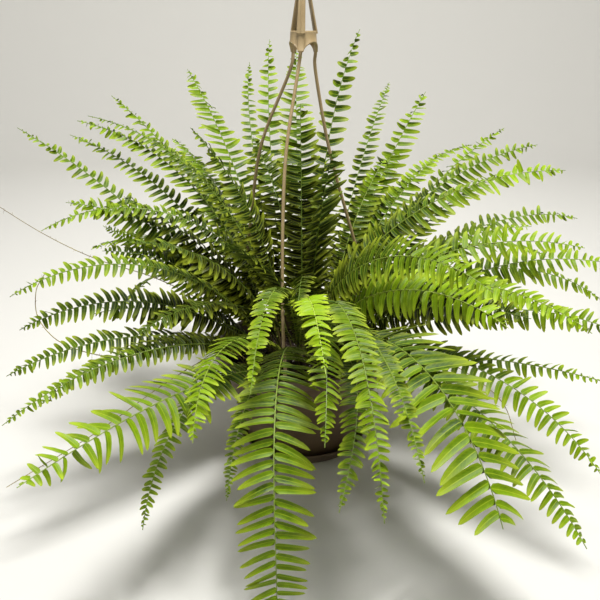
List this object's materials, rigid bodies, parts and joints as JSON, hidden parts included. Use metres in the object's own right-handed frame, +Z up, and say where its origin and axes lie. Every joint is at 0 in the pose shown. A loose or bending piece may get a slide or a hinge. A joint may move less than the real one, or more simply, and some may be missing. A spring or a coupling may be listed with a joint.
{
  "type": "hanging potted fern",
  "caption": "Sword fern in a moulded hanging basket with a drip saucer, strands and a hook; arching fronds hang over the rim on all sides.",
  "frame": {"origin": "centre of the saucer's flat foot, under the middle of the basket", "axes": "+Z up along the basket's axis to the hook, -Y towards the side the picture shows"},
  "size_m": [0.7895, 0.8275, 0.6436],
  "materials": {
    "taupe_plastic": "satin moulded",
    "dark_soil": "rough, moist",
    "fern_green": "soft satin leaf",
    "dry_runner": "dry, matte"
  },
  "bodies": {
    "root": {"frond_back_far_left": "fern_green", "frond_back_hook": "fern_green", "frond_back_left": "fern_green", "frond_back_mid": "fern_green", "frond_broad": "fern_green", "frond_front_long": "fern_green", "frond_front_low_left": "fern_green", "frond_front_low_right": "fern_green", "frond_front_tail": "fern_green", "frond_left_back": "fern_green", "frond_left_drop": "fern_green", "frond_left_end": "fern_green", "frond_left_hang": "fern_green", "frond_left_high": "fern_green", "frond_left_long": "fern_green", "frond_left_mid": "fern_green", "frond_left_steep": "fern_green", "frond_left_trail": "fern_green", "frond_right_arch": "fern_green", "frond_right_back": "fern_green", "frond_right_face": "fern_green", "frond_right_fan": "fern_green", "frond_right_front": "fern_green", "frond_right_high": "fern_green", "frond_right_low": "fern_green", "frond_right_mid": "fern_green", "frond_right_tip": "fern_green", "frond_right_under": "fern_green", "hanger_head": "taupe_plastic", "pot": "taupe_plastic", "runner_front_left": "dry_runner", "runner_left_high": "dry_runner", "runner_left_loop": "dry_runner", "runner_right": "dry_runner", "saucer": "taupe_plastic", "soil": "dark_soil", "strand_front": "taupe_plastic", "strand_left": "taupe_plastic", "strand_right": "taupe_plastic", "tuft_back_broad": "fern_green", "tuft_back_right": "fern_green", "tuft_back_slim": "fern_green", "tuft_crown_back": "fern_green", "tuft_crown_front": "fern_green", "tuft_crown_left": "fern_green", "tuft_crown_right": "fern_green", "tuft_front_slim": "fern_green", "tuft_front_top": "fern_green", "tuft_left_fan": "fern_green", "tuft_left_low": "fern_green", "tuft_left_top": "fern_green", "tuft_rear_1": "fern_green", "tuft_rear_2": "fern_green", "tuft_rear_3": "fern_green", "tuft_rear_4": "fern_green", "tuft_rear_5": "fern_green", "tuft_right_end": "fern_green", "tuft_right_inner": "fern_green", "tuft_right_outer": "fern_green"}
  },
  "joints": []
}
